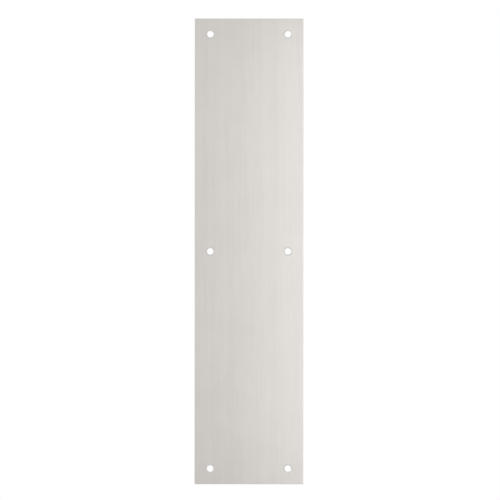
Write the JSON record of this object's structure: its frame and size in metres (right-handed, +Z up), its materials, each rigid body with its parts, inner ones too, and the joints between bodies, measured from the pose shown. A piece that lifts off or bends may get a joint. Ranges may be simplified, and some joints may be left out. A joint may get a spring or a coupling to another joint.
{
  "type": "door finger plate",
  "caption": "Flat rectangular aluminium push plate that guards a door where hands push it, with countersunk screw holes along both long edges.",
  "frame": {"origin": "centre of the back face, the face that lies on the door", "axes": "+Z up the door along the plate's length, +X across the door to the right as seen from the front, +Y into the door, so that the front face looks towards -Y"},
  "size_m": [0.0888, 0.0013, 0.381],
  "materials": {
    "satin_aluminium": "satin, brushed along the plate's length"
  },
  "bodies": {
    "root": {"finger_plate": "satin_aluminium"}
  },
  "joints": []
}
